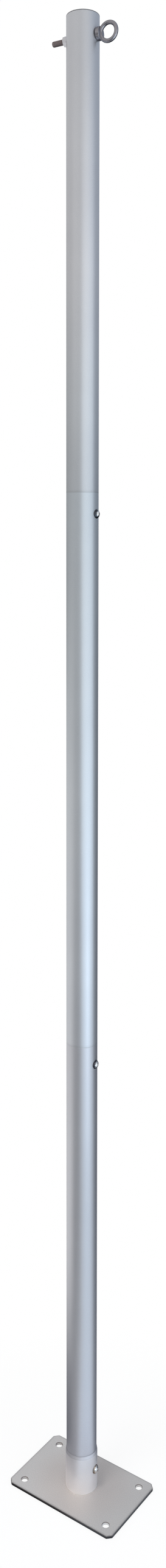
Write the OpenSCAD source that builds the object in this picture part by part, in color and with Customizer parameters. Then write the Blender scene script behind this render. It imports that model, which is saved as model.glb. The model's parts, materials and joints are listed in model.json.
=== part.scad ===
// Shade sail mast: three round tubes in line, joined by sleeves inside them, standing in the
// socket of a bolted base plate. An eye bolt goes through the top for the corner of the sail.
// Millimetres, +Z up. The origin is the centre of the base plate's underside, the plate's long
// side lies along X, and the eye and the screws point towards +X, turned by fastener_turn.

/* [Base plate] */
// Length of the plate
plate_length = 200; // [150:5:300]
// Width of the plate
plate_width = 130; // [110:5:220]
// Thickness of the plate
plate_thickness = 5; // [4:0.5:12]
// Cut across each corner, measured along both sides
plate_corner = 7; // [2:1:15]
// Rounding of the plate's upper edge
plate_edge_round = 1; // [0.5:0.25:2]
// Diameter of the anchor holes
anchor_hole_d = 11; // [6:0.5:14]
// Distance of the anchor holes from the plate's ends
anchor_inset_x = 20; // [15:1:28]
// Distance of the anchor holes from the plate's long sides
anchor_inset_y = 18; // [13:1:22]

/* [Socket] */
// Wall of the socket tube
socket_wall = 1.2; // [1:0.1:3]
// Height of the socket above the plate, up to its mouth
socket_height = 64.5; // [50:0.5:150]
// Height of the bevel round the mouth
mouth_height = 5.5; // [1:0.5:10]
// Width left at the top of the mouth
mouth_land = 0.3; // [0.1:0.1:0.8]
// Gap between the socket and the mast, at each side
socket_gap = 0.15; // [0.1:0.05:0.5]
// Leg of the weld round the socket's foot
weld_leg = 0.6; // [0.5:0.1:4]

/* [Mast tubes] */
// Outside diameter of the mast
mast_d = 48.3; // [42:0.1:70]
// Wall of the mast tubes
mast_wall = 1.5; // [1:0.1:2.5]
// Length of the lower tube
lower_length = 738; // [300:1:1500]
// Length of the middle tube
middle_length = 846; // [300:1:1500]
// Length of the upper tube
upper_length = 676; // [300:1:1500]
// Bevel on the tubes' outer edges
tube_bevel = 0.7; // [0.3:0.1:0.9]

/* [Joint sleeves] */
// Length of a sleeve
sleeve_length = 150; // [120:5:250]
// Wall of a sleeve
sleeve_wall = 2; // [1.5:0.5:3]
// Gap between a sleeve and the tubes, at each side
sleeve_gap = 0.1; // [0.05:0.05:0.3]

/* [Screws and nuts] */
// Direction of the eye and the screws, turned from +X
fastener_turn = 6.5; // [0:0.5:30]
// Thread diameter of the screws
screw_d = 8; // [6:0.5:8]
// Length of a screw under its head
screw_length = 16; // [14:1:20]
// Diameter of a screw's domed head
head_d = 14; // [12:0.5:18]
// Height of the domed head
head_height = 4.4; // [3:0.1:5]
// Width across the flats of the key hole in the head
key_flats = 5; // [3:0.5:6]
// Depth of the key hole
key_depth = 2.6; // [1.5:0.1:2.8]
// Distance of a joint's screw below the seam
screw_below_seam = 31; // [22:1:50]
// Height of the socket's screw above the plate
socket_screw_height = 34; // [20:1:40]
// Gap round a thread, at each side
thread_gap = 0.2; // [0.1:0.05:0.5]
// Width across the flats of a nut
nut_flats = 13; // [11:0.5:16]
// Height of a nut
nut_height = 6.5; // [4:0.5:8]
// Pitch of the threads
thread_pitch = 1.25; // [1:0.25:1.5]

/* [Eye bolt] */
// Distance of the eye bolt below the top of the mast
eye_below_top = 28; // [24:1:60]
// Diameter of the hole in the eye
eye_hole_d = 19; // [14:1:40]
// Diameter of the eye's round bar
eye_bar_d = 6; // [5:0.5:9]
// How far the eye's bar is sunk into the collar
eye_sink = 3.9; // [2.5:0.1:4]
// Diameter of the collar
collar_d = 19; // [14:1:30]
// Thickness of the collar
collar_height = 6; // [5:0.5:8]
// Rounding of the collar's edges
collar_round = 0.8; // [0.3:0.1:1.2]
// Thread diameter of the eye bolt
eye_thread_d = 8; // [6:0.5:8]
// Length of thread that stands out past the nut
thread_past_nut = 19.2; // [3:0.1:40]

/* [Top cap] */
// Thickness of the cap's rim over the tube
cap_rim = 1.2; // [1:0.1:4]
// Depth of the cap's plug in the tube
cap_plug_depth = 12; // [6:1:15]
// Wall of the plug
cap_wall = 2; // [1.5:0.5:4]
// Gap between the plug and the tube, at each side
cap_gap = 0.1; // [0.05:0.05:0.3]

/* [Hidden] */

$fn = 96;
HEX = 6;
CUT_OVER = 1; // how far a cutting tool runs past the face that it cuts
EDGE_STEPS = 3; // flats in the plate's rounded upper edge
LAYER = 0.01; // thickness of the layers that the rounded edge is drawn between
NUT_SEAT_GAP = 0.05; // room for the weld between an inner nut and its tube

mast_r = mast_d / 2;
bore_r = mast_r - mast_wall;
sleeve_r = bore_r - sleeve_gap;
sleeve_bore_r = sleeve_r - sleeve_wall;
socket_bore_r = mast_r + socket_gap;
socket_r = socket_bore_r + socket_wall;
lower_seam_z = plate_thickness + lower_length;
upper_seam_z = lower_seam_z + middle_length;
mast_top_z = upper_seam_z + upper_length;
socket_screw_z = plate_thickness + socket_screw_height;
lower_screw_z = lower_seam_z - screw_below_seam;
upper_screw_z = upper_seam_z - screw_below_seam;
eye_z = mast_top_z - eye_below_top;
screw_hole_d = screw_d + 2 * thread_gap;
eye_bolt_hole_d = eye_thread_d + 2 * thread_gap;
anchor_x = plate_length / 2 - anchor_inset_x;
anchor_y = plate_width / 2 - anchor_inset_y;
eye_ring_r = (eye_hole_d + eye_bar_d) / 2;
eye_reach = collar_height - eye_sink + eye_bar_d + eye_hole_d / 2;
eye_shank_length = mast_d + nut_height + thread_past_nut;
nut_corner_r = nut_flats / 2 / cos(180 / HEX);
thread_depth = 0.6 * thread_pitch;

// Turns what is drawn along +Z so that it points out of the mast at height z.
module outwards(z, opposite = false) {
    rotate([0, 0, fastener_turn + (opposite ? 180 : 0)])
        translate([0, 0, z])
            rotate([0, 90, 0])
                children();
}

// A straight tube that stands on z0, with its outer edges bevelled.
module bevelled_tube(z0, length, outer_r, wall, bevel) {
    translate([0, 0, z0])
        rotate_extrude()
            polygon([
                [outer_r - wall, 0],
                [outer_r - bevel, 0],
                [outer_r, bevel],
                [outer_r, length - bevel],
                [outer_r - bevel, length],
                [outer_r - wall, length]
            ]);
}

// A cutter for a screw hole through one wall, on the side that the screws point to.
module wall_hole(z, d, opposite = false) {
    outwards(z, opposite)
        cylinder(d = d, h = socket_r + CUT_OVER);
}

// The outline of a threaded bar's half, from y = 0 up to its end, with a bevelled tip.
function thread_outline(d, plain, length) =
    let (r = d / 2, turns = floor((length - plain - thread_depth) / thread_pitch))
    concat(
        [[0, 0], [r, 0], [r, plain]],
        [for (i = [0 : turns - 1]) each [
            [r - thread_depth, plain + (i + 0.5) * thread_pitch],
            [r, plain + (i + 1) * thread_pitch]
        ]],
        [[r - thread_depth, length], [0, length]]
    );

// A bar along +Z with ridges in place of a thread, plain over its first stretch.
module threaded_bar(d, plain, length) {
    rotate_extrude()
        polygon(thread_outline(d, plain, length));
}

// A domed screw whose seat lies at seat_r from the mast's axis.
module domed_screw(z, seat_r) {
    dome_r = (pow(head_d / 2, 2) + pow(head_height, 2)) / (2 * head_height);
    outwards(z)
        translate([0, 0, seat_r]) {
            difference() {
                intersection() {
                    translate([0, 0, head_height - dome_r])
                        sphere(r = dome_r);
                    cylinder(d = head_d, h = head_height);
                }
                translate([0, 0, head_height - key_depth])
                    cylinder(d = key_flats / cos(180 / HEX), h = key_depth + CUT_OVER, $fn = HEX);
            }
            mirror([0, 0, 1])
                threaded_bar(screw_d, seat_r - bore_r, screw_length);
        }
}

// A hexagon nut with its bore clear of the thread and both faces' corners rounded off.
module hex_nut(thread_d) {
    corner_cut = (nut_corner_r - nut_flats / 2) * tan(30);
    difference() {
        intersection() {
            cylinder(r = nut_corner_r, h = nut_height, $fn = HEX);
            rotate_extrude()
                polygon([
                    [0, 0],
                    [nut_flats / 2, 0],
                    [nut_corner_r, corner_cut],
                    [nut_corner_r, nut_height - corner_cut],
                    [nut_flats / 2, nut_height],
                    [0, nut_height]
                ]);
        }
        translate([0, 0, -CUT_OVER])
            cylinder(d = thread_d + 2 * thread_gap, h = nut_height + 2 * CUT_OVER);
    }
}

// A nut welded inside a tube: its outer face lies where its edge meets the bore.
module inner_nut(z, tube_bore_r) {
    seat_r = sqrt(pow(tube_bore_r - NUT_SEAT_GAP, 2) - pow(nut_flats / 2, 2));
    outwards(z)
        translate([0, 0, seat_r - nut_height])
            hex_nut(screw_d);
}

module plate_outline(inset = 0) {
    x = plate_length / 2 - inset;
    y = plate_width / 2 - inset;
    c = plate_corner - inset * (2 - sqrt(2));
    polygon([
        [x - c, -y], [x, -y + c], [x, y - c], [x - c, y],
        [-x + c, y], [-x, y - c], [-x, -y + c], [-x + c, -y]
    ]);
}

// A thin layer of the plate where its rounded upper edge has turned by this angle.
module plate_layer(turn, shift) {
    translate([0, 0, plate_thickness - plate_edge_round * (1 - sin(turn)) + shift])
        linear_extrude(LAYER)
            plate_outline(plate_edge_round * (1 - cos(turn)));
}

module base_plate() {
    edge_step = 90 / EDGE_STEPS;
    color([0.70, 0.70, 0.69])
        difference() {
            union() {
                linear_extrude(plate_thickness - plate_edge_round)
                    plate_outline();
                for (turn = [0 : edge_step : 90 - edge_step])
                    hull() {
                        plate_layer(turn, 0);
                        plate_layer(turn + edge_step, -LAYER);
                    }
            }
            for (sx = [-1, 1], sy = [-1, 1])
                translate([sx * anchor_x, sy * anchor_y, -CUT_OVER])
                    cylinder(d = anchor_hole_d, h = plate_thickness + 2 * CUT_OVER);
        }
}

module socket_tube() {
    color([0.72, 0.73, 0.76])
        difference() {
            translate([0, 0, plate_thickness])
                rotate_extrude()
                    polygon([
                        [socket_bore_r, 0],
                        [socket_r, 0],
                        [socket_r, socket_height - mouth_height],
                        [socket_bore_r + mouth_land, socket_height],
                        [socket_bore_r, socket_height]
                    ]);
            wall_hole(socket_screw_z, screw_hole_d);
        }
}

module socket_weld() {
    color([0.68, 0.68, 0.67])
        translate([0, 0, plate_thickness])
            rotate_extrude()
                polygon([[socket_r, 0], [socket_r + weld_leg, 0], [socket_r, weld_leg]]);
}

module lower_mast_tube() {
    color([0.70, 0.72, 0.76])
        difference() {
            bevelled_tube(plate_thickness, lower_length, mast_r, mast_wall, tube_bevel);
            wall_hole(socket_screw_z, screw_hole_d);
            wall_hole(lower_screw_z, screw_hole_d);
        }
}

module middle_mast_tube() {
    color([0.70, 0.72, 0.76])
        difference() {
            bevelled_tube(lower_seam_z, middle_length, mast_r, mast_wall, tube_bevel);
            wall_hole(upper_screw_z, screw_hole_d);
        }
}

module upper_mast_tube() {
    color([0.70, 0.72, 0.76])
        difference() {
            bevelled_tube(upper_seam_z, upper_length, mast_r, mast_wall, tube_bevel);
            wall_hole(eye_z, eye_bolt_hole_d);
            wall_hole(eye_z, eye_bolt_hole_d, opposite = true);
        }
}

// A sleeve half in the tube below the seam and half in the tube above it.
module joint_sleeve(seam_z, screw_z) {
    color([0.60, 0.61, 0.63])
        difference() {
            bevelled_tube(seam_z - sleeve_length / 2, sleeve_length, sleeve_r, sleeve_wall, tube_bevel);
            wall_hole(screw_z, screw_hole_d);
        }
}

module lower_joint_sleeve() {
    joint_sleeve(lower_seam_z, lower_screw_z);
}

module upper_joint_sleeve() {
    joint_sleeve(upper_seam_z, upper_screw_z);
}

module socket_screw() {
    color([0.80, 0.80, 0.80])
        domed_screw(socket_screw_z, socket_r);
}

module lower_joint_screw() {
    color([0.80, 0.80, 0.80])
        domed_screw(lower_screw_z, mast_r);
}

module upper_joint_screw() {
    color([0.80, 0.80, 0.80])
        domed_screw(upper_screw_z, mast_r);
}

module socket_screw_nut() {
    color([0.62, 0.62, 0.60])
        inner_nut(socket_screw_z, bore_r);
}

module lower_joint_nut() {
    color([0.62, 0.62, 0.60])
        inner_nut(lower_screw_z, sleeve_bore_r);
}

module upper_joint_nut() {
    color([0.62, 0.62, 0.60])
        inner_nut(upper_screw_z, sleeve_bore_r);
}

// The eye, its collar and its threaded shank are one forging.
module eye_bolt() {
    color([0.45, 0.44, 0.45])
        outwards(eye_z)
            translate([0, 0, mast_r]) {
                rotate_extrude()
                    polygon([
                        [0, 0],
                        [collar_d / 2 - collar_round, 0],
                        [collar_d / 2, collar_round],
                        [collar_d / 2, collar_height - collar_round],
                        [collar_d / 2 - collar_round, collar_height],
                        [0, collar_height]
                    ]);
                translate([0, 0, eye_reach])
                    rotate([90, 0, 0])
                        rotate_extrude()
                            translate([eye_ring_r, 0])
                                circle(d = eye_bar_d);
                mirror([0, 0, 1])
                    threaded_bar(eye_thread_d, mast_d - mast_wall, eye_shank_length);
            }
}

module eye_nut() {
    color([0.66, 0.67, 0.68])
        outwards(eye_z, opposite = true)
            translate([0, 0, mast_r])
                hex_nut(eye_thread_d);
}

module top_cap() {
    plug_r = bore_r - cap_gap;
    color([0.20, 0.20, 0.21])
        translate([0, 0, mast_top_z])
            rotate_extrude()
                polygon([
                    [0, 0],
                    [0, cap_rim],
                    [mast_r - cap_rim / 2, cap_rim],
                    [mast_r, cap_rim / 2],
                    [mast_r, 0],
                    [plug_r, 0],
                    [plug_r, -cap_plug_depth],
                    [plug_r - cap_wall, -cap_plug_depth],
                    [plug_r - cap_wall, 0]
                ]);
}

base_plate();
socket_tube();
socket_weld();
lower_mast_tube();
middle_mast_tube();
upper_mast_tube();
lower_joint_sleeve();
upper_joint_sleeve();
socket_screw();
lower_joint_screw();
upper_joint_screw();
socket_screw_nut();
lower_joint_nut();
upper_joint_nut();
eye_bolt();
eye_nut();
top_cap();
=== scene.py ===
import json
import math

import bmesh
import bpy
from mathutils import Matrix, Vector


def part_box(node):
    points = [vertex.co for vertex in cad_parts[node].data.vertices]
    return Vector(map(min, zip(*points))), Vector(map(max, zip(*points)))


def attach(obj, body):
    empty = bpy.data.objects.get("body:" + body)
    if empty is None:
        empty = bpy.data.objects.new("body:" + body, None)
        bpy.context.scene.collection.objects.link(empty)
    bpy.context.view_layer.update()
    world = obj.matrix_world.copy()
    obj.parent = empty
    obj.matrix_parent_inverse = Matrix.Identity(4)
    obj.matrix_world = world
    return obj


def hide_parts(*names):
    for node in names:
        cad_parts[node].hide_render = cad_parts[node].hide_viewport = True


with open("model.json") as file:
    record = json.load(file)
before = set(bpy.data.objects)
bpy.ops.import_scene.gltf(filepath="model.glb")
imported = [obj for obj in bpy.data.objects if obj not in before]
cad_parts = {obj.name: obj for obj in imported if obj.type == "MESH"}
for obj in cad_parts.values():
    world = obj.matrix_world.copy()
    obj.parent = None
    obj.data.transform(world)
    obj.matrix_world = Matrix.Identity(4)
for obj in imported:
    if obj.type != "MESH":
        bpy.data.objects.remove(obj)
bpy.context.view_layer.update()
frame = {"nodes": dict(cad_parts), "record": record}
nodes = frame["nodes"]

MM = 0.001
WHITE = (1, 1, 1)

# ---------------------------------------------------------------- places, from the frame

plate_low, plate_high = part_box("base_plate")
cap_low, cap_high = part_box("top_cap")
socket_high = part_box("socket_tube")[1]
weld_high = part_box("socket_weld")[1]
mast_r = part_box("middle_mast_tube")[1].x
eye_mount = next(m for m in frame["record"]["mounts"] if m["name"] == "sail_eye")
eye_centre = Vector(eye_mount["pos_m"])
eye_turn = math.atan2(eye_centre.y, eye_centre.x)
eye_reach = math.hypot(eye_centre.x, eye_centre.y)

# ---------------------------------------------------------------- sizes that the boxes don't give

MAST_WALL = 1.5 * MM
TUBE_EDGE_ROUND = 0.25 * MM
SOCKET_BORE_R = 24.3 * MM
MOUTH_HEIGHT = 5.5 * MM
MOUTH_LAND = 0.3 * MM
BEAD_OVERLAP = 0.3 * MM
BEAD_SUNK = 0.2 * MM
BEAD_RIPPLE = 0.05 * MM
BEAD_RIPPLES = 90
BEAD_UNEVEN = (1.5, 5)
BEAD_STEPS = 720
PLATE_CORNER = 7 * MM
PLATE_CORNER_EASE = 1.5 * MM
PLATE_EDGE_ROUND = 1 * MM
ANCHOR_HOLE_R = 5.5 * MM
ANCHOR_INSET = (20 * MM, 18 * MM)
ANCHOR_HOLE_STEPS = 48
CAP_PLUG_R = 22.55 * MM
CAP_PLUG_WALL = 2 * MM
CAP_RIM = 1.2 * MM
CAP_EDGE_ROUND = 0.5 * MM
CAP_LIP = 2.5 * MM
CAP_LIP_AND_SLOPE = 4 * MM
CAP_DISH = 0.25 * MM
CAP_CENTRE = 0.1 * MM
EYE_HOLE_R = 9.5 * MM
EYE_BAR_R = 3 * MM
COLLAR_R = 9.5 * MM
COLLAR_HEIGHT = 6 * MM
COLLAR_ROUND = 0.8 * MM
COLLAR_CENTRE = 0.01 * MM
RING_STEPS = 96
BAR_STEPS = 32
MELT_GRID = 0.3 * MM
MELT_SMOOTHING = {"factor": 0.5, "iterations": 5}
THREAD_R = 4 * MM
THREAD_ROOT_R = 3.35 * MM
THREAD_PITCH = 1.25 * MM
THREAD_START = 1 * MM
THREAD_STEPS = 48
THREAD_ROWS_PER_TURN = 10
THREAD_FLANK = 2.6
THREAD_ROOT_FLAT = 0.12
THREAD_TIP_R = 2.7 * MM
THREAD_TIP_LENGTH = 1.6 * MM
NUT_HEIGHT = 6.5 * MM
THREAD_PAST_NUT = 19.2 * MM

# ---------------------------------------------------------------- camera

CAMERA_AZIMUTH = math.radians(35.63)
CAMERA_DISTANCE = 1.801
CAMERA_SIDE = 0.0011
CAMERA_HEIGHT = 1.482
CAMERA_TILT_DOWN = math.radians(5.54)
CAMERA_ROLL = math.radians(0.06)
CAMERA_SENSOR = 36
CAMERA_LENS = 27.47
CAMERA_SHIFT = -0.0654
CAMERA_REACH = 100


def around(azimuth_from_camera, distance, height, side=0.0):
    """A place round the mast, by the angle to the right of the camera's direction."""
    turn = CAMERA_AZIMUTH + math.radians(azimuth_from_camera)
    away = Vector((math.sin(turn), -math.cos(turn), 0)) * distance
    across = Vector((math.cos(turn), math.sin(turn), 0)) * side
    return away + across + Vector((0, 0, height))


def make_camera():
    data = bpy.data.cameras.new("photo_camera")
    data.sensor_width = CAMERA_SENSOR
    data.lens = CAMERA_LENS
    data.shift_y = CAMERA_SHIFT
    data.clip_end = CAMERA_REACH
    camera = bpy.data.objects.new("photo_camera", data)
    camera.location = around(0, CAMERA_DISTANCE, CAMERA_HEIGHT, CAMERA_SIDE)
    turn = Matrix.Rotation(CAMERA_AZIMUTH, 3, "Z")
    tilt = Matrix.Rotation(math.pi / 2 - CAMERA_TILT_DOWN, 3, "X")
    roll = Matrix.Rotation(CAMERA_ROLL, 3, "Z")
    camera.rotation_euler = (turn @ tilt @ roll).to_euler()
    bpy.context.scene.collection.objects.link(camera)
    bpy.context.scene.camera = camera


# ---------------------------------------------------------------- material helpers


def grey(level):
    return (level, level, level)


def new_material(name):
    material = bpy.data.materials.new(name)
    material.use_nodes = True
    tree = material.node_tree
    return material, tree, tree.nodes["Principled BSDF"]


def add_node(tree, kind, **settings):
    node = tree.nodes.new(kind)
    for key, value in settings.items():
        if key in node.inputs:
            node.inputs[key].default_value = value
        else:
            setattr(node, key, value)
    return node


def object_coords(tree, stretch=(1, 1, 1)):
    coords = add_node(tree, "ShaderNodeTexCoord")
    mapping = add_node(tree, "ShaderNodeMapping")
    mapping.inputs["Scale"].default_value = stretch
    tree.links.new(coords.outputs["Object"], mapping.inputs["Vector"])
    return mapping.outputs["Vector"]


def separated(tree, vector):
    """The outputs X, Y and Z of a vector."""
    node = add_node(tree, "ShaderNodeSeparateXYZ")
    tree.links.new(vector, node.inputs[0])
    return node.outputs


def vector_node(tree, operation, vector, *constants):
    """Vector maths on one vector, with constants on the node's other sockets."""
    node = add_node(tree, "ShaderNodeVectorMath", operation=operation)
    tree.links.new(vector, node.inputs[0])
    for socket, constant in zip(node.inputs[1:], constants):
        socket.default_value = constant
    return node.outputs


def noise(tree, vector, scale, detail=3.0, roughness=0.5):
    """Noise whose grain is about 1 / scale metres."""
    node = add_node(tree, "ShaderNodeTexNoise", Scale=scale, Detail=detail, Roughness=roughness)
    tree.links.new(vector, node.inputs["Vector"])
    return node.outputs["Fac"]


def ramp(tree, value, stops):
    """Colours along a value: stops are (place, colour)."""
    node = tree.nodes.new("ShaderNodeValToRGB")
    elements = node.color_ramp.elements
    while len(elements) < len(stops):
        elements.new(0.5)
    for element, (place, colour) in zip(elements, stops):
        element.position = place
        element.color = (*colour, 1)
    tree.links.new(value, node.inputs["Fac"])
    return node.outputs["Color"]


def spread(tree, value, low, high, start=0.3, end=0.7):
    """Low where the value is start or less, high where it is end or more, and even in between."""
    node = add_node(tree, "ShaderNodeMapRange")
    node.inputs["From Min"].default_value = start
    node.inputs["From Max"].default_value = end
    node.inputs["To Min"].default_value = low
    node.inputs["To Max"].default_value = high
    tree.links.new(value, node.inputs["Value"])
    return node.outputs["Result"]


def share(tree, value, start, end):
    """How far the value has come from start to end, from 0 to 1."""
    return spread(tree, value, 0, 1, start, end)


def mix(tree, factor, first, second, blend="MIX"):
    node = add_node(tree, "ShaderNodeMix", data_type="RGBA", blend_type=blend)
    for socket, source in (("Factor", factor), ("A", first), ("B", second)):
        target = next(s for s in node.inputs if s.name == socket and s.enabled)
        if isinstance(source, (tuple, float, int)):
            target.default_value = source if isinstance(source, float) else (*source, 1)
        else:
            tree.links.new(source, target)
    return next(s for s in node.outputs if s.enabled)


def math_node(tree, operation, *values):
    node = add_node(tree, "ShaderNodeMath", operation=operation)
    for socket, value in zip(node.inputs, values):
        if isinstance(value, (int, float)):
            socket.default_value = value
        else:
            tree.links.new(value, socket)
    return node.outputs[0]


def product(tree, first, second):
    return math_node(tree, "MULTIPLY", first, second)


def bump(tree, shader, height, strength, distance):
    node = add_node(tree, "ShaderNodeBump", Strength=strength, Distance=distance)
    tree.links.new(height, node.inputs["Height"])
    tree.links.new(node.outputs["Normal"], shader.inputs["Normal"])


def colour_of(material):
    """The material's tree, its shader and the output its colour comes from."""
    tree = material.node_tree
    shader = tree.nodes["Principled BSDF"]
    return tree, shader, shader.inputs["Base Color"].links[0].from_socket


def shade_paint(tree, shader, painted, *shades):
    """Puts the painted colour on the shader again, multiplied by each of the shades."""
    for shade in shades:
        painted = mix(tree, 1.0, painted, shade, "MULTIPLY")
    tree.links.new(painted, shader.inputs["Base Color"])


# ---------------------------------------------------------------- materials

# Scales of the noises, in grains to a metre
FLAKE_GRAIN = 1500
PLATE_FLAKE_GRAIN = 800
PEEL_GRAIN = 900
CLOUD_GRAIN = 14
SMEAR_GRAIN = 140
HAIRLINE_GRAIN = 900
PLASTIC_GRAIN = 1800
PLASTIC_CLOUD_GRAIN = 60

HAIRLINE_STRETCH = (1, 1, 0.15)

# Strength and depth of the fine relief
PEEL = (0.2, 0.00004)
HAIRLINES = (0.15, 0.00002)
PLASTIC_RELIEF = (0.3, 0.00005)

# How much the roughness varies, less and more
PAINT_UNEVEN = (0.04, 0.05)
METAL_UNEVEN = 0.07
PLASTIC_UNEVEN = 0.12

SCREW_ROUGHNESS = 0.08
# Width of the painted shade round the plate's top rim
PLATE_RIM_SHADE_WIDTH = 4 * MM
HOLE_EDGE = (2 * MM, 2.5 * MM)
FOOT_REACH = 3.6 * mast_r
# Height of the band of painted shade just above each mast joint, and how dark it makes the paint
JOINT_SHADE_BAND = 4.5 * MM
JOINT_SHADE_FACTOR = 0.88


def silver_paint(name, dark, light, metallic, rough, grain=FLAKE_GRAIN):
    """Sprayed silver paint: fine flakes, a soft cloud in it, and a slight orange peel."""
    material, tree, shader = new_material(name)
    coords = object_coords(tree)
    mottle = noise(tree, coords, grain, 3, 0.6)
    cloud = noise(tree, coords, CLOUD_GRAIN, 3)
    colour = ramp(tree, mottle, [(0.35, dark), (0.65, light)])
    clouded = ramp(tree, cloud, [(0.3, (0.96, 0.96, 0.965)), (0.7, WHITE)])
    shade_paint(tree, shader, colour, clouded)
    uneven = spread(tree, mottle, rough - PAINT_UNEVEN[0], rough + PAINT_UNEVEN[1])
    tree.links.new(uneven, shader.inputs["Roughness"])
    shader.inputs["Metallic"].default_value = metallic
    bump(tree, shader, noise(tree, coords, PEEL_GRAIN, 2), *PEEL)
    return material


def plate_finish(name, dark, light, metallic, rough):
    """A coarser coat, faintly warm round the socket's foot, with painted shade on its cut edges and
    top rim, painted light at its left end turning to painted shade at its right, and painted light
    and shade in the anchor holes.
    """
    material = silver_paint(name, dark, light, metallic, rough, PLATE_FLAKE_GRAIN)
    tree, shader, painted = colour_of(material)
    coords = object_coords(tree)
    place_on = separated(tree, coords)
    quarter = vector_node(tree, "ABSOLUTE", coords)["Vector"]

    # From the underside up to the top face: painted shade on the outer edges, darkest towards the
    # floor; in the anchor holes painted light low down and painted shade just under the top
    rise = share(tree, place_on["Z"], plate_low.z, plate_high.z)
    cut = ramp(tree, rise, [(0.1, (0.02, 0.018, 0.022)), (0.55, (0.06, 0.05, 0.06)),
                            (0.9, (0.4, 0.38, 0.4)), (1.0, WHITE)])
    painted_hole_light_and_shade = ramp(tree, rise, [(0.6, grey(1.8)), (0.82, (0.35, 0.3, 0.3)),
                              (0.95, (0.45, 0.43, 0.43)), (1.0, WHITE)])
    hole_centre = (plate_high.x - ANCHOR_INSET[0], plate_high.y - ANCHOR_INSET[1])
    from_hole = vector_node(tree, "MULTIPLY_ADD", quarter, (1, 1, 0),
                            (-hole_centre[0], -hole_centre[1], 0))["Vector"]
    from_hole = vector_node(tree, "LENGTH", from_hole)["Value"]
    in_hole = spread(tree, from_hole, 1, 0, *(ANCHOR_HOLE_R + edge for edge in HOLE_EDGE))

    # Painted shade from the rim inwards, on the top face, darkest at the edge
    sides = separated(tree, quarter)
    both = math_node(tree, "ADD", sides["X"], sides["Y"])
    to_corner = math_node(tree, "SUBTRACT", plate_high.x + plate_high.y - PLATE_CORNER, both)
    to_end = math_node(tree, "SUBTRACT", plate_high.x, sides["X"])
    to_side = math_node(tree, "SUBTRACT", plate_high.y, sides["Y"])
    to_edge = math_node(tree, "MINIMUM", math_node(tree, "MINIMUM", to_end, to_side), to_corner)
    painted_dark_rim = ramp(tree, share(tree, to_edge, 0, PLATE_RIM_SHADE_WIDTH),
               [(0.0, grey(0.5)), (0.3, (0.75, 0.75, 0.76)), (0.6, grey(0.92)), (1.0, WHITE)])

    # From the mast's foot outwards, and from the left end to the right painted light turning to
    # painted shade
    reach = share(tree, vector_node(tree, "LENGTH", coords)["Value"], mast_r, FOOT_REACH)
    foot = ramp(tree, reach, [(0.0, (0.95, 0.9, 0.88)), (0.5, (0.97, 0.935, 0.92)), (1.0, WHITE)])
    painted_falloff = ramp(tree, share(tree, place_on["X"], plate_low.x, plate_high.x),
                [(0.0, grey(1.06)), (0.35, grey(1.07)), (0.7, grey(0.95)), (1.0, grey(0.91))])
    shade_paint(tree, shader, painted, mix(tree, in_hole, cut, painted_hole_light_and_shade), painted_dark_rim, foot, painted_falloff)
    return material


def mast_finish(name, dark, light, metallic, rough):
    """The silver paint on the mast, with painted shade and light along each tube's height, so a
    shade apart at a joint, and a band of painted shade just above each joint.
    """
    material = silver_paint(name, dark, light, metallic, rough)
    tree, shader, painted = colour_of(material)
    height = separated(tree, object_coords(tree))["Z"]
    joints = [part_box(part + "_mast_tube")[1].z for part in ("lower", "middle")]
    # Painted shade and light along each tube, from its foot to its top
    lower = ramp(tree, share(tree, height, 0, joints[0]),
                 [(0.0, (1.04, 1.01, 1.045)), (0.37, (0.99, 0.98, 0.985)),
                  (0.8, (0.92, 0.915, 0.92)), (1.0, (0.89, 0.885, 0.89))])
    middle = ramp(tree, share(tree, height, *joints),
                  [(0.0, (0.925, 0.935, 0.94)), (0.5, (0.95, 0.98, 0.98)),
                   (1.0, (0.915, 0.968, 0.978))])
    upper = ramp(tree, share(tree, height, joints[1], cap_high.z),
                 [(0.0, (0.88, 0.91, 0.915)), (0.2, (0.965, 0.99, 0.99)),
                  (0.47, (1.02, 1.015, 1.01)), (0.95, grey(0.98))])
    shade = lower
    # Each tube above a joint, with a band of painted shade just above the joint
    for joint, above in zip(joints, (middle, upper)):
        painted_shade = spread(tree, height, JOINT_SHADE_FACTOR, 1, joint, joint + JOINT_SHADE_BAND)
        above = mix(tree, 1.0, above, painted_shade, "MULTIPLY")
        shade = mix(tree, math_node(tree, "GREATER_THAN", height, joint), shade, above)
    shade_paint(tree, shader, painted, shade)
    return material


def socket_finish(name, dark, light, metallic, rough):
    """The silver paint on the socket, with painted light at its foot turning to painted shade
    towards its top, and painted shade on its shoulder and turned-in mouth.
    """
    material = silver_paint(name, dark, light, metallic, rough)
    tree, shader, painted = colour_of(material)
    height = separated(tree, object_coords(tree))["Z"]
    # Painted shade on the shoulder and the turned-in mouth
    mouth = ramp(tree, share(tree, height, socket_high.z - 2 * MOUTH_HEIGHT, socket_high.z),
                 [(0.47, WHITE), (0.52, (0.72, 0.72, 0.73)), (0.62, (0.84, 0.84, 0.85)),
                  (0.9, (0.8, 0.8, 0.81)), (1.0, (0.5, 0.5, 0.52))])
    # Painted light at the foot, turning to painted shade towards the top
    painted_shade = ramp(tree, share(tree, height, plate_high.z, socket_high.z),
                [(0.0, (1.04, 1.035, 1.03)), (0.35, (1, 0.995, 1)),
                 (0.6, (0.93, 0.925, 0.94)), (1.0, (0.87, 0.865, 0.89))])
    shade_paint(tree, shader, painted, mouth, painted_shade)
    return material


def bright_metal(name, colour, rough):
    """Bare metal with faint smears and hairlines."""
    material, tree, shader = new_material(name)
    smear = noise(tree, object_coords(tree), SMEAR_GRAIN, 3)
    lines = noise(tree, object_coords(tree, HAIRLINE_STRETCH), HAIRLINE_GRAIN, 2)
    darker = tuple(c * 0.9 for c in colour)
    tree.links.new(ramp(tree, smear, [(0.3, darker), (0.7, colour)]), shader.inputs["Base Color"])
    tree.links.new(spread(tree, smear, rough, rough + METAL_UNEVEN), shader.inputs["Roughness"])
    shader.inputs["Metallic"].default_value = 1.0
    bump(tree, shader, lines, *HAIRLINES)
    return material


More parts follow.
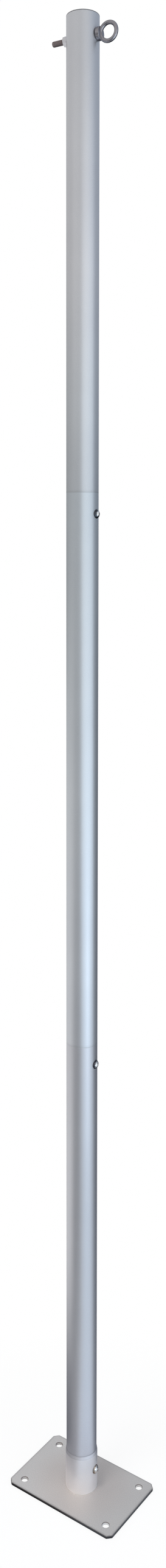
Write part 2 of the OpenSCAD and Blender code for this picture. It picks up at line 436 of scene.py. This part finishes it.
def screw_finish(name, screw, centre, painted_dark_rim, start, end):
    """A polished screw, bright in the middle, with a rim painted dark round the head as a painted
    reflection; the rim begins at start and is full at end, both as shares of the head's radius."""
    material = bright_metal(name, centre, SCREW_ROUGHNESS)
    tree, shader, bright = colour_of(material)
    low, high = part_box(screw)
    head_r = (high.z - low.z) / 2
    axis_point = (0, 0, (low.z + high.z) / 2)
    axis = (math.cos(eye_turn), math.sin(eye_turn), 0)
    from_axis = vector_node(tree, "SUBTRACT", object_coords(tree), axis_point)["Vector"]
    from_axis = vector_node(tree, "CROSS_PRODUCT", from_axis, axis)["Vector"]
    from_axis = vector_node(tree, "LENGTH", from_axis)["Value"]
    outwards = share(tree, from_axis, start * head_r, end * head_r)
    tree.links.new(mix(tree, outwards, bright, painted_dark_rim), shader.inputs["Base Color"])
    return material


def dull_plastic(name, colour, rough):
    """Matt plastic with a fine grain and a soft cloud in its colour."""
    material, tree, shader = new_material(name)
    coords = object_coords(tree)
    grain = noise(tree, coords, PLASTIC_GRAIN, 2)
    cloud = noise(tree, coords, PLASTIC_CLOUD_GRAIN, 2)
    lighter = tuple(c * 1.25 for c in colour)
    tree.links.new(ramp(tree, cloud, [(0.3, colour), (0.7, lighter)]), shader.inputs["Base Color"])
    tree.links.new(spread(tree, grain, rough, rough + PLASTIC_UNEVEN), shader.inputs["Roughness"])
    bump(tree, shader, grain, *PLASTIC_RELIEF)
    return material


def dress(material, *names):
    """Puts the material on solids that show as they are."""
    for name in names:
        slots = nodes[name].data.materials
        slots.clear()
        slots.append(material)


mast_paint = mast_finish("mast_paint", (0.585, 0.595, 0.625), (0.645, 0.655, 0.685), 0.82, 0.41)
plate_paint = plate_finish("plate_paint", (0.48, 0.461, 0.447), (0.575, 0.552, 0.535), 0.3, 0.45)
socket_paint = socket_finish("socket_paint", (0.89, 0.877, 0.887), (0.96, 0.945, 0.955), 0.84, 0.46)
zinc = bright_metal("zinc", (0.62, 0.63, 0.64), 0.35)
forged = bright_metal("forged", (0.32, 0.31, 0.335), 0.24)
bright_zinc = bright_metal("bright_zinc", (0.6, 0.6, 0.63), 0.3)
dark_thread = bright_metal("dark_thread", (0.34, 0.285, 0.28), 0.55)
cap_plastic = dull_plastic("cap_plastic", (0.17, 0.17, 0.18), 0.45)

dress(zinc, "lower_joint_sleeve", "upper_joint_sleeve")
dress(bright_zinc, "eye_nut")
dress(zinc, "socket_screw_nut", "lower_joint_nut", "upper_joint_nut")

# Each screw, the colour of its head's rim (painted reflection), and where the rim starts and is
# full
SCREW_CENTRE = (0.88, 0.87, 0.86)
SCREW_PAINTED_RIMS = (("socket_screw", (0.3, 0.25, 0.21), 0.66, 0.9),
              ("lower_joint_screw", (0.05, 0.05, 0.06), 0.58, 0.8),
              ("upper_joint_screw", (0.05, 0.055, 0.065), 0.5, 0.74))
for screw, *painted_dark_rim in SCREW_PAINTED_RIMS:
    dress(screw_finish(screw + "_steel", screw, SCREW_CENTRE, *painted_dark_rim), screw)

# ---------------------------------------------------------------- mesh helpers


def place(name, mesh, material, slot, *stands_for):
    """Puts a finished mesh in the scene as a piece of the mast."""
    piece = bpy.data.objects.new(name, mesh)
    bpy.context.scene.collection.objects.link(piece)
    mesh.materials.clear()
    mesh.materials.append(material)
    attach(piece, "root")
    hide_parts(*stands_for)


def smooth(mesh, sharp_degrees=40):
    mesh.polygons.foreach_set("use_smooth", [True] * len(mesh.polygons))
    mesh.set_sharp_from_angle(angle=math.radians(sharp_degrees))
    return mesh


def grid_mesh(name, rows, closed_rows=False, caps=False):
    """A skin over rows of points: each row is a closed ring, and closed_rows joins the last
    row to the first."""
    form = bmesh.new()
    rings = [[form.verts.new(point) for point in row] for row in rows]
    count = len(rings[0])
    for i in range(len(rings) if closed_rows else len(rings) - 1):
        ring, after = rings[i], rings[(i + 1) % len(rings)]
        for j in range(count):
            k = (j + 1) % count
            form.faces.new((ring[j], ring[k], after[k], after[j]))
    if caps:
        form.faces.new(list(reversed(rings[0])))
        form.faces.new(rings[-1])
    bmesh.ops.recalc_face_normals(form, faces=form.faces)
    mesh = bpy.data.meshes.new(name)
    form.to_mesh(mesh)
    form.free()
    return mesh


def turned(name, profile, segments=128, ripple=None):
    """A closed profile of (radius, height) points, turned round the Z axis."""
    rows = []
    for index, (radius, height) in enumerate(profile):
        row = []
        for step in range(segments):
            turn = 2 * math.pi * step / segments
            grow = ripple(index, turn) if ripple else 0
            out = radius + grow
            row.append((out * math.cos(turn), out * math.sin(turn), height + grow))
        rows.append(row)
    return smooth(grid_mesh(name, rows, closed_rows=True))


def arc(centre, radius, start, end, steps=4):
    """Points on a quarter round or other arc, with its angles in degrees."""
    points = []
    for step in range(steps + 1):
        angle = math.radians(start + (end - start) * step / steps)
        points.append((centre[0] + radius * math.cos(angle), centre[1] + radius * math.sin(angle)))
    return points


def shifted(x, y, *steps):
    """Points given by how far they lie from x and y, in millimetres."""
    return [(x + right * MM, y + up * MM) for right, up in steps]


def baked(name, data, *modifiers):
    """The mesh of a curve, or of a mesh after its modifiers, given as (kind, settings)."""
    holder = bpy.data.objects.new("holder", data)
    bpy.context.scene.collection.objects.link(holder)
    for kind, settings in modifiers:
        modifier = holder.modifiers.new(kind.lower(), kind)
        for key, value in settings.items():
            setattr(modifier, key, value)
    graph = bpy.context.evaluated_depsgraph_get()
    result = bpy.data.meshes.new_from_object(holder.evaluated_get(graph))
    result.name = name
    bpy.data.objects.remove(holder)
    return result


# ---------------------------------------------------------------- tubes, socket and cap


def make_mast_tubes():
    bore, edge = mast_r - MAST_WALL, TUBE_EDGE_ROUND
    for part in ("lower", "middle", "upper"):
        low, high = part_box(part + "_mast_tube")
        profile = [(bore, low.z), (mast_r - edge, low.z)]
        profile += arc((mast_r - edge, low.z + edge), edge, -80, 0)
        profile += [(mast_r, low.z + 2 * edge), (mast_r, high.z - 2 * edge)]
        profile += arc((mast_r - edge, high.z - edge), edge, 0, 80)
        profile += [(mast_r - edge, high.z), (bore, high.z)]
        mesh = turned(part + "_tube", profile)
        place(part + "_tube", mesh, mast_paint, "mast_paint", part + "_mast_tube")


def make_socket():
    """The socket tube, with a soft shoulder where its mouth is turned in."""
    outer, mouth = socket_high.x, socket_high.z
    lip = mouth - MOUTH_HEIGHT
    land = SOCKET_BORE_R + MOUTH_LAND
    profile = [(SOCKET_BORE_R, plate_high.z), (outer, plate_high.z)]
    profile += shifted(outer, lip, (0, -1.5), (0, -0.6), (-0.05, 0.1), (-0.18, 0.8))
    profile += shifted(land, mouth, (0.12, -0.6), (0, -0.1), (-0.08, 0))
    profile += [(SOCKET_BORE_R, mouth)]
    place("socket", turned("socket", profile), socket_paint, "socket_paint", "socket_tube")


def make_foot_bead():
    """The weld bead round the socket's foot, with its fine ripples."""
    leg = weld_high.x - socket_high.x
    inner, base = socket_high.x - BEAD_OVERLAP, plate_high.z
    hollow = ((0, 1), (0.2, 0.72), (0.45, 0.45), (0.72, 0.2), (1, 0))
    profile = [(inner, base - BEAD_SUNK), (inner, base + leg)]
    first = len(profile)
    rippled = range(first + 1, first + len(hollow) - 1)
    profile += [(socket_high.x + leg * out, base + leg * up) for out, up in hollow]
    profile += [(weld_high.x, base - BEAD_SUNK)]

    def ripple(index, turn):
        uneven = BEAD_UNEVEN[0] * math.sin(BEAD_UNEVEN[1] * turn)
        wave = math.sin(BEAD_RIPPLES * turn + uneven)
        return BEAD_RIPPLE * wave if index in rippled else 0

    mesh = turned("foot_bead", profile, BEAD_STEPS, ripple)
    place("foot_bead", mesh, plate_paint, "plate_paint", "socket_weld")


def make_cap():
    """A plug-in cap, its top dished a little inside a flat lip."""
    rim_r, top, under_rim = cap_high.x, cap_high.z, cap_high.z - CAP_RIM
    plug_bore, edge = CAP_PLUG_R - CAP_PLUG_WALL, CAP_EDGE_ROUND
    profile = [(plug_bore, cap_low.z), (CAP_PLUG_R, cap_low.z)]
    profile += [(CAP_PLUG_R, under_rim), (rim_r, under_rim)]
    profile += arc((rim_r - edge, top - edge), edge, 0, 90)
    profile += [(rim_r - CAP_LIP, top), (rim_r - CAP_LIP_AND_SLOPE, top - CAP_DISH)]
    profile += [(CAP_CENTRE, top - CAP_DISH), (CAP_CENTRE, under_rim), (plug_bore, under_rim)]
    place("cap", turned("cap", profile), cap_plastic, "cap_plastic", "top_cap")


# ---------------------------------------------------------------- base plate

QUARTERS = ((1, 1), (-1, 1), (-1, -1), (1, -1))


def eased(corners, radius, steps=4):
    """The outline with each corner eased by an arc-like curve of about this radius."""
    points = []
    for index, corner in enumerate(corners):
        before = (corners[index - 1] - corner).normalized() * radius
        after = (corners[(index + 1) % len(corners)] - corner).normalized() * radius
        for step in range(steps + 1):
            t = step / steps
            points.append(corner + before * (1 - t) ** 2 + after * t**2)
    return points


def add_outline(curve, points):
    spline = curve.splines.new("POLY")
    spline.points.add(len(points) - 1)
    for target, point in zip(spline.points, points):
        target.co = (point[0], point[1], 0, 1)
    spline.use_cyclic_u = True


def make_plate():
    """A flat plate with cut corners, softly rounded edges and four anchor holes."""
    x, y, cut = plate_high.x, plate_high.y, PLATE_CORNER
    corners = []
    for side_x, side_y in QUARTERS:
        ends = [Vector((side_x * x, side_y * (y - cut))), Vector((side_x * (x - cut), side_y * y))]
        corners += ends if side_x * side_y > 0 else ends[::-1]
    curve = bpy.data.curves.new("plate", "CURVE")
    curve.dimensions = "2D"
    curve.fill_mode = "BOTH"
    add_outline(curve, eased(corners, PLATE_CORNER_EASE))
    for side_x, side_y in QUARTERS:
        middle = (side_x * (x - ANCHOR_INSET[0]), side_y * (y - ANCHOR_INSET[1]))
        last = 360 - 360 / ANCHOR_HOLE_STEPS
        add_outline(curve, arc(middle, ANCHOR_HOLE_R, 0, last, ANCHOR_HOLE_STEPS - 1))
    curve.offset = -PLATE_EDGE_ROUND
    curve.bevel_depth = PLATE_EDGE_ROUND
    curve.bevel_resolution = 3
    curve.extrude = (plate_high.z - plate_low.z) / 2 - PLATE_EDGE_ROUND
    mesh = baked("plate", curve)
    mesh.transform(Matrix.Translation((0, 0, (plate_low.z + plate_high.z) / 2)))
    place("plate", smooth(mesh, 50), plate_paint, "plate_paint", "base_plate")


# ---------------------------------------------------------------- eye bolt

# The eye bolt is made along +X at the mast's middle, then turned and lifted into its place.
to_eye = Matrix.Translation((0, 0, eye_centre.z)) @ Matrix.Rotation(eye_turn, 4, "Z")
lay_down = Matrix.Rotation(math.pi / 2, 4, "Y")


def make_eye():
    """The forged ring and its collar, melted into each other."""
    ring_r = EYE_HOLE_R + EYE_BAR_R
    rows = []
    for i in range(RING_STEPS):
        turn = 2 * math.pi * i / RING_STEPS
        row = []
        for j in range(BAR_STEPS):
            roll = 2 * math.pi * j / BAR_STEPS
            out = ring_r + EYE_BAR_R * math.cos(roll)
            side = EYE_BAR_R * math.sin(roll)
            row.append((eye_reach + out * math.cos(turn), side, out * math.sin(turn)))
        rows.append(row)
    ring = grid_mesh("ring", rows, closed_rows=True)

    foot, top, edge = mast_r, mast_r + COLLAR_HEIGHT, COLLAR_ROUND
    profile = [(COLLAR_CENTRE, foot)] + arc((COLLAR_R - edge, foot + edge), edge, -90, 0)
    profile += arc((COLLAR_R - edge, top - edge), edge, 0, 90) + [(COLLAR_CENTRE, top)]
    collar = turned("collar", profile, RING_STEPS)
    collar.transform(lay_down)

    both = bmesh.new()
    both.from_mesh(ring)
    both.from_mesh(collar)
    both.to_mesh(ring)
    both.free()
    melted = baked("eye", ring, ("REMESH", {"mode": "VOXEL", "voxel_size": MELT_GRID}),
                   ("SMOOTH", MELT_SMOOTHING))
    melted.transform(to_eye)
    place("eye", smooth(melted, 180), forged, "forged_eye", "eye_bolt")


def thread_radius(along, turned_share, tip):
    """The cut thread's radius at a place along it and a share of a turn, rounded off at the tip."""
    wave = (along / THREAD_PITCH + turned_share) % 1
    height = THREAD_FLANK * (0.5 - abs(wave - 0.5)) - THREAD_ROOT_FLAT
    height = min(1, max(0, height))
    radius = THREAD_ROOT_R + (THREAD_R - THREAD_ROOT_R) * height
    left = min(1, max(0.0, (tip - along) / THREAD_TIP_LENGTH))
    rounded = THREAD_TIP_R + (THREAD_R - THREAD_TIP_R) * math.sqrt(1 - (1 - left) ** 2)
    return min(radius, rounded)


def make_eye_thread():
    """The bolt behind the eye: a plain shank through the mast, and a cut thread past it."""
    start = mast_r + THREAD_START
    tip = mast_r + NUT_HEIGHT + THREAD_PAST_NUT
    count = int((tip - start) / THREAD_PITCH * THREAD_ROWS_PER_TURN)
    shank = [-mast_r, -mast_r + 2 * MM, mast_r - 2 * MM]
    cut = [start + (tip - start) * step / count for step in range(count + 1)]
    points = []
    for along in shank + cut:
        row = []
        for step in range(THREAD_STEPS):
            turn = 2 * math.pi * step / THREAD_STEPS
            cut_here = along >= start
            radius = thread_radius(along, step / THREAD_STEPS, tip) if cut_here else THREAD_ROOT_R
            row.append((-along, radius * math.cos(turn), radius * math.sin(turn)))
        points.append(row)
    mesh = grid_mesh("eye_thread", points, caps=True)
    mesh.transform(to_eye)
    place("eye_thread", smooth(mesh, 60), dark_thread, "forged_eye", "eye_bolt")


make_mast_tubes()
make_socket()
make_foot_bead()
make_cap()
make_plate()
make_eye()
make_eye_thread()

# ---------------------------------------------------------------- floor, world and lights

COOL = (0.78, 0.89, 1)

FLOOR_RADIUS = 12.0
FLOOR_STEPS = 96
FLOOR_GAP = 0.0002
FLOOR_SEEN = grey(0.9)
FLOOR_ROUND_ABOUT = grey(0.29)
FLOOR_UNLIT = (0.05, 0.06, 0.08)
FLOOR_ROUGHNESS = 0.8
FLOOR_WHITE_NEAR = 0.85
FLOOR_WHITE_FAR = 1.0

# Distances from the mast between which each of these comes or goes
FLOOR_WHITENS = (0.15, 0.4)
CLOSE_BY = (0.25, 0.6)
OFF_PLATE = (0.3, 0.7)

ROOM_COLOUR = (1.0, 0.99, 0.98)
ROOM_LEVEL = 0.38
ROOM_LEVEL_OVERHEAD = 0.76
DARK_COLOUR = (0.77, 0.86, 1.0)
DARK_SHARE = 0.29
DARK_SHARE_OVERHEAD = 0.85
SWEEP_STRENGTH = 0.5

# The sines of the rise above the horizon between which each of these comes
OVERHEAD = (0.02, 0.35)
OUT_OF_DARK = (-0.08, 0.14)
SWEEP_RAISED = (0.05, 0.4)

# Sides of the room: degrees right of the camera, and the cosines of the angle from there
# at which each begins and is full
FRONT = (0, 0.0, 0.7)
DARK_SIDE = (125, -0.1, 0.6)
LIT_SIDE = (44, 0.52, 0.86)
LIT_CLOSE_BY = (24, 0.5, 0.9)
SWEPT_FLOOR = (-115, 0.5, 0.9)
SWEPT_WALL = (-115, 0.56, 0.96)

# Softboxes: degrees right of the camera, distance and height; width, height and watts; colour
LAMPS = {
    "key": ((38, 1.7, 1.75), (3.3, 1.9, 14.2), (0.91, 0.96, 1)),
    "low_key": ((38, 1.7, 0.3), (3.3, 1.0, 8.7), (0.74, 0.88, 1)),
    "core": ((42, 1.65, 0.2), (0.6, 0.5, 1.7), COOL),
    "fill": ((-48, 2.4, 2.5), (2.4, 1.4, 2.7), WHITE),
    "low_fill": ((-48, 2.4, 0.5), (2.4, 1.0, 2.1), WHITE),
    "top": ((-40, 1.0, 2.4), (0.7, 0.7, 1.1), WHITE),
}
TOP_SPREAD = math.radians(40)


def towards(tree, direction, azimuth_from_camera, start, end):
    """1 in one side of the room and 0 out of it, by the cosine of the angle from that side."""
    side = around(azimuth_from_camera, 1, 0)
    return share(tree, vector_node(tree, "DOT_PRODUCT", direction, side)["Value"], start, end)


def light_path(tree):
    """Whether the camera looks, and whether it looks by way of a mirror or through glass."""
    path = add_node(tree, "ShaderNodeLightPath").outputs
    glossy, through = path["Is Glossy Ray"], path["Is Transmission Ray"]
    return path["Is Camera Ray"], math_node(tree, "MAXIMUM", glossy, through)


def mix_shaders(tree, factor, first, second, target):
    node = add_node(tree, "ShaderNodeMixShader")
    for source, socket in zip((factor, first, second), node.inputs):
        tree.links.new(source, socket)
    tree.links.new(node.outputs["Shader"], target)


def make_floor():
    """A pale floor with the mast's shadow, plain white further out.

    In the mast's gloss it shows dark on the dark side and behind the mast's foot, as painted
    shade, and glows white on the lit side and beyond the plate on the other side, as painted
    reflected light.
    """
    mesh = bpy.data.meshes.new("floor")
    form = bmesh.new()
    bmesh.ops.create_circle(form, cap_ends=True, segments=FLOOR_STEPS, radius=FLOOR_RADIUS)
    form.to_mesh(mesh)
    form.free()
    floor = bpy.data.objects.new("floor", mesh)
    floor.location.z = plate_low.z - FLOOR_GAP
    bpy.context.scene.collection.objects.link(floor)

    material, tree, shader = new_material("floor_pale")
    seen, in_gloss = light_path(tree)
    position = add_node(tree, "ShaderNodeNewGeometry").outputs["Position"]
    distance = vector_node(tree, "LENGTH", position)["Value"]
    side = vector_node(tree, "NORMALIZE", position)["Vector"]
    close_by = spread(tree, distance, 1, 0, *CLOSE_BY)

    behind = product(tree, close_by, math_node(tree, "SUBTRACT", 1.0, towards(tree, side, *FRONT)))
    unlit = math_node(tree, "MAXIMUM", towards(tree, side, *DARK_SIDE), behind)
    ground = mix(tree, product(tree, in_gloss, unlit), FLOOR_ROUND_ABOUT, FLOOR_UNLIT)
    tree.links.new(mix(tree, seen, ground, FLOOR_SEEN), shader.inputs["Base Color"])
    shader.inputs["Roughness"].default_value = FLOOR_ROUGHNESS

    # Where the floor glows white in the mast's gloss, a painted reflection of light: on the lit
    # side, close by on that side, and beyond the plate on the other side
    painted_glow_close_by = product(tree, close_by, towards(tree, side, *LIT_CLOSE_BY))
    painted_glow = math_node(tree, "MAXIMUM", towards(tree, side, *LIT_SIDE), painted_glow_close_by)
    swept = product(tree, towards(tree, side, *SWEPT_FLOOR), share(tree, distance, *OFF_PLATE))
    paler = spread(tree, distance, FLOOR_WHITE_NEAR, FLOOR_WHITE_FAR, *FLOOR_WHITENS)
    white_seen = product(tree, seen, paler)
    white_in_gloss = product(tree, in_gloss, math_node(tree, "MAXIMUM", painted_glow, swept))
    white = add_node(tree, "ShaderNodeEmission")
    tree.links.new(mix(tree, product(tree, in_gloss, painted_glow), WHITE, COOL), white.inputs["Color"])
    plain_white = math_node(tree, "MAXIMUM", white_seen, white_in_gloss)
    mix_shaders(tree, plain_white, shader.outputs["BSDF"], white.outputs["Emission"],
                tree.nodes["Material Output"].inputs["Surface"])
    mesh.materials.append(material)


def make_world():
    """White where the camera looks; to all else a grey room, lighter overhead, dark on one side."""
    world = bpy.data.worlds.new("studio")
    bpy.context.scene.world = world
    world.use_nodes = True
    tree = world.node_tree
    tree.nodes.clear()

    coords = add_node(tree, "ShaderNodeTexCoord").outputs["Generated"]
    up = separated(tree, coords)["Z"]
    level = spread(tree, up, ROOM_LEVEL, ROOM_LEVEL_OVERHEAD, *OVERHEAD)
    into_dark = towards(tree, coords, *DARK_SIDE)
    left_in_dark = spread(tree, up, DARK_SHARE, DARK_SHARE_OVERHEAD, *OUT_OF_DARK)
    lost = product(tree, into_dark, math_node(tree, "SUBTRACT", 1.0, left_in_dark))
    strength = product(tree, level, math_node(tree, "SUBTRACT", 1.0, lost))
    room = add_node(tree, "ShaderNodeBackground")
    tree.links.new(mix(tree, into_dark, ROOM_COLOUR, DARK_COLOUR), room.inputs["Color"])
    tree.links.new(strength, room.inputs["Strength"])

    seen, in_gloss = light_path(tree)
    white = add_node(tree, "ShaderNodeBackground", Color=(*WHITE, 1), Strength=1.0)
    raised = spread(tree, up, 0, SWEEP_STRENGTH, *SWEEP_RAISED)
    swept = product(tree, in_gloss, product(tree, towards(tree, coords, *SWEPT_WALL), raised))
    out = add_node(tree, "ShaderNodeOutputWorld")
    mix_shaders(tree, math_node(tree, "MAXIMUM", seen, swept), room.outputs["Background"],
                white.outputs["Background"], out.inputs["Surface"])


def softbox(name, stand, target, width, height, watts, colour):
    data = bpy.data.lights.new(name, "AREA")
    data.shape = "RECTANGLE"
    data.size = width
    data.size_y = height
    data.energy = watts
    data.color = colour
    light = bpy.data.objects.new(name, data)
    light.location = stand
    light.rotation_euler = (target - stand).to_track_quat("-Z", "Y").to_euler()
    bpy.context.scene.collection.objects.link(light)


def make_lights():
    """Each softbox faces the mast at its own height, and the top one the mast's foot."""
    for name, (stand, size_and_watts, colour) in LAMPS.items():
        aim = 0 if name == "top" else stand[2]
        softbox(name, around(*stand), Vector((0, 0, aim)), *size_and_watts, colour)
    bpy.data.lights["top"].spread = TOP_SPREAD


make_camera()
make_floor()
make_world()
make_lights()
bpy.context.scene.view_settings.view_transform = "Standard"
